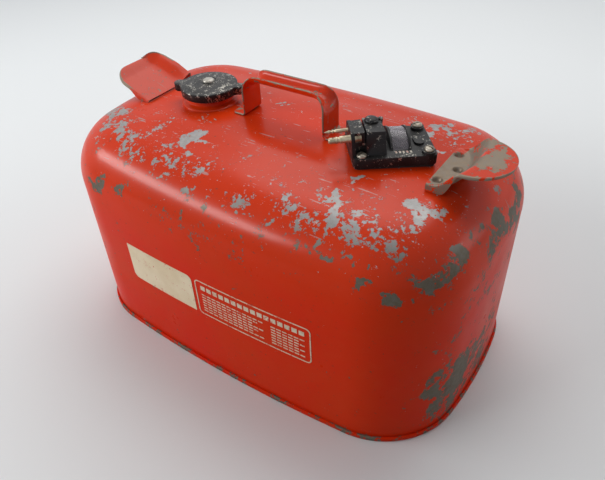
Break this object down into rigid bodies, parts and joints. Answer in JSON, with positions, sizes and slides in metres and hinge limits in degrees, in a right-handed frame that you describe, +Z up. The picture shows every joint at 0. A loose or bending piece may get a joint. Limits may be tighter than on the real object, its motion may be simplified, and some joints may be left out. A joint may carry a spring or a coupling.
{
  "type": "portable outboard fuel tank",
  "caption": "Portable steel fuel tank with strap handle, two hose hooks, quarter-turn filler cap, and a cast fuel outlet with float gauge.",
  "frame": {"origin": "centre of the base, on the plane that the tank stands on", "axes": "+X along the tank's long side from the filler cap towards the fuel outlet, +Z up, +Y to the back"},
  "size_m": [0.45, 0.279, 0.2745],
  "materials": {
    "tank_shell": "satin enamel, chipped",
    "bottom_pan": "satin enamel, chipped",
    "carry_handle": "satin enamel, chipped",
    "left_hose_hook": "satin enamel, chipped",
    "right_hose_hook": "satin enamel, chipped",
    "filler_neck": "satin enamel, chipped",
    "meter_mounting_ring": "dull zinc",
    "meter_gasket": "matte",
    "meter_housing": "satin black paint, worn",
    "housing_plug": "satin black paint, worn",
    "housing_screws": "dull zinc",
    "gauge_lens": "clear, glossy",
    "fuel_prong": "dull, tarnished",
    "locating_prong": "dull, tarnished",
    "pickup_tube": "drawn",
    "pickup_strainer": "perforated",
    "float_bracket": "dull zinc",
    "bracket_screws": "dull zinc",
    "pivot_pin": "dull zinc",
    "cap_pressure_disc": "dull zinc",
    "cap_gasket": "matte",
    "cap_shell": "satin black paint, worn",
    "cap_rivet": "dull zinc",
    "cap_locking_bar": "dull zinc",
    "cap_spring": "dull zinc",
    "float_arm": "dull zinc",
    "fuel_float": "lacquered cork",
    "gauge_pointer": "white paint"
  },
  "bodies": {
    "tank": {"tank_shell": "tank_shell", "bottom_pan": "bottom_pan", "carry_handle": "carry_handle", "left_hose_hook": "left_hose_hook", "right_hose_hook": "right_hose_hook", "filler_neck": "filler_neck", "meter_mounting_ring": "meter_mounting_ring", "meter_gasket": "meter_gasket", "meter_housing": "meter_housing", "housing_plug": "housing_plug", "housing_screws": "housing_screws", "gauge_lens": "gauge_lens", "fuel_prong": "fuel_prong", "locating_prong": "locating_prong", "pickup_tube": "pickup_tube", "pickup_strainer": "pickup_strainer", "float_bracket": "float_bracket", "bracket_screws": "bracket_screws", "pivot_pin": "pivot_pin"},
    "cap_seal": {"cap_pressure_disc": "cap_pressure_disc", "cap_gasket": "cap_gasket"},
    "filler_cap": {"cap_shell": "cap_shell", "cap_rivet": "cap_rivet", "cap_locking_bar": "cap_locking_bar", "cap_spring": "cap_spring"},
    "float_gauge": {"float_arm": "float_arm", "fuel_float": "fuel_float", "gauge_pointer": "gauge_pointer"}
  },
  "joints": [
    {"name": "cap_lift", "type": "slide", "parent": "tank", "child": "cap_seal", "axis": [0, 0, 1], "range_m": [0, 0.06]},
    {"name": "cap_turn", "type": "hinge", "parent": "cap_seal", "child": "filler_cap", "pos_m": [-0.097, 0, 0.243], "axis": [0, 0, 1], "range_deg": [0, 90]},
    {"name": "float_swing", "type": "hinge", "parent": "tank", "child": "float_gauge", "pos_m": [0.11142, 0.00763, 0.22796], "axis": [0.7655, 0.6428, -0.0294], "range_deg": [-36, 36]}
  ]
}
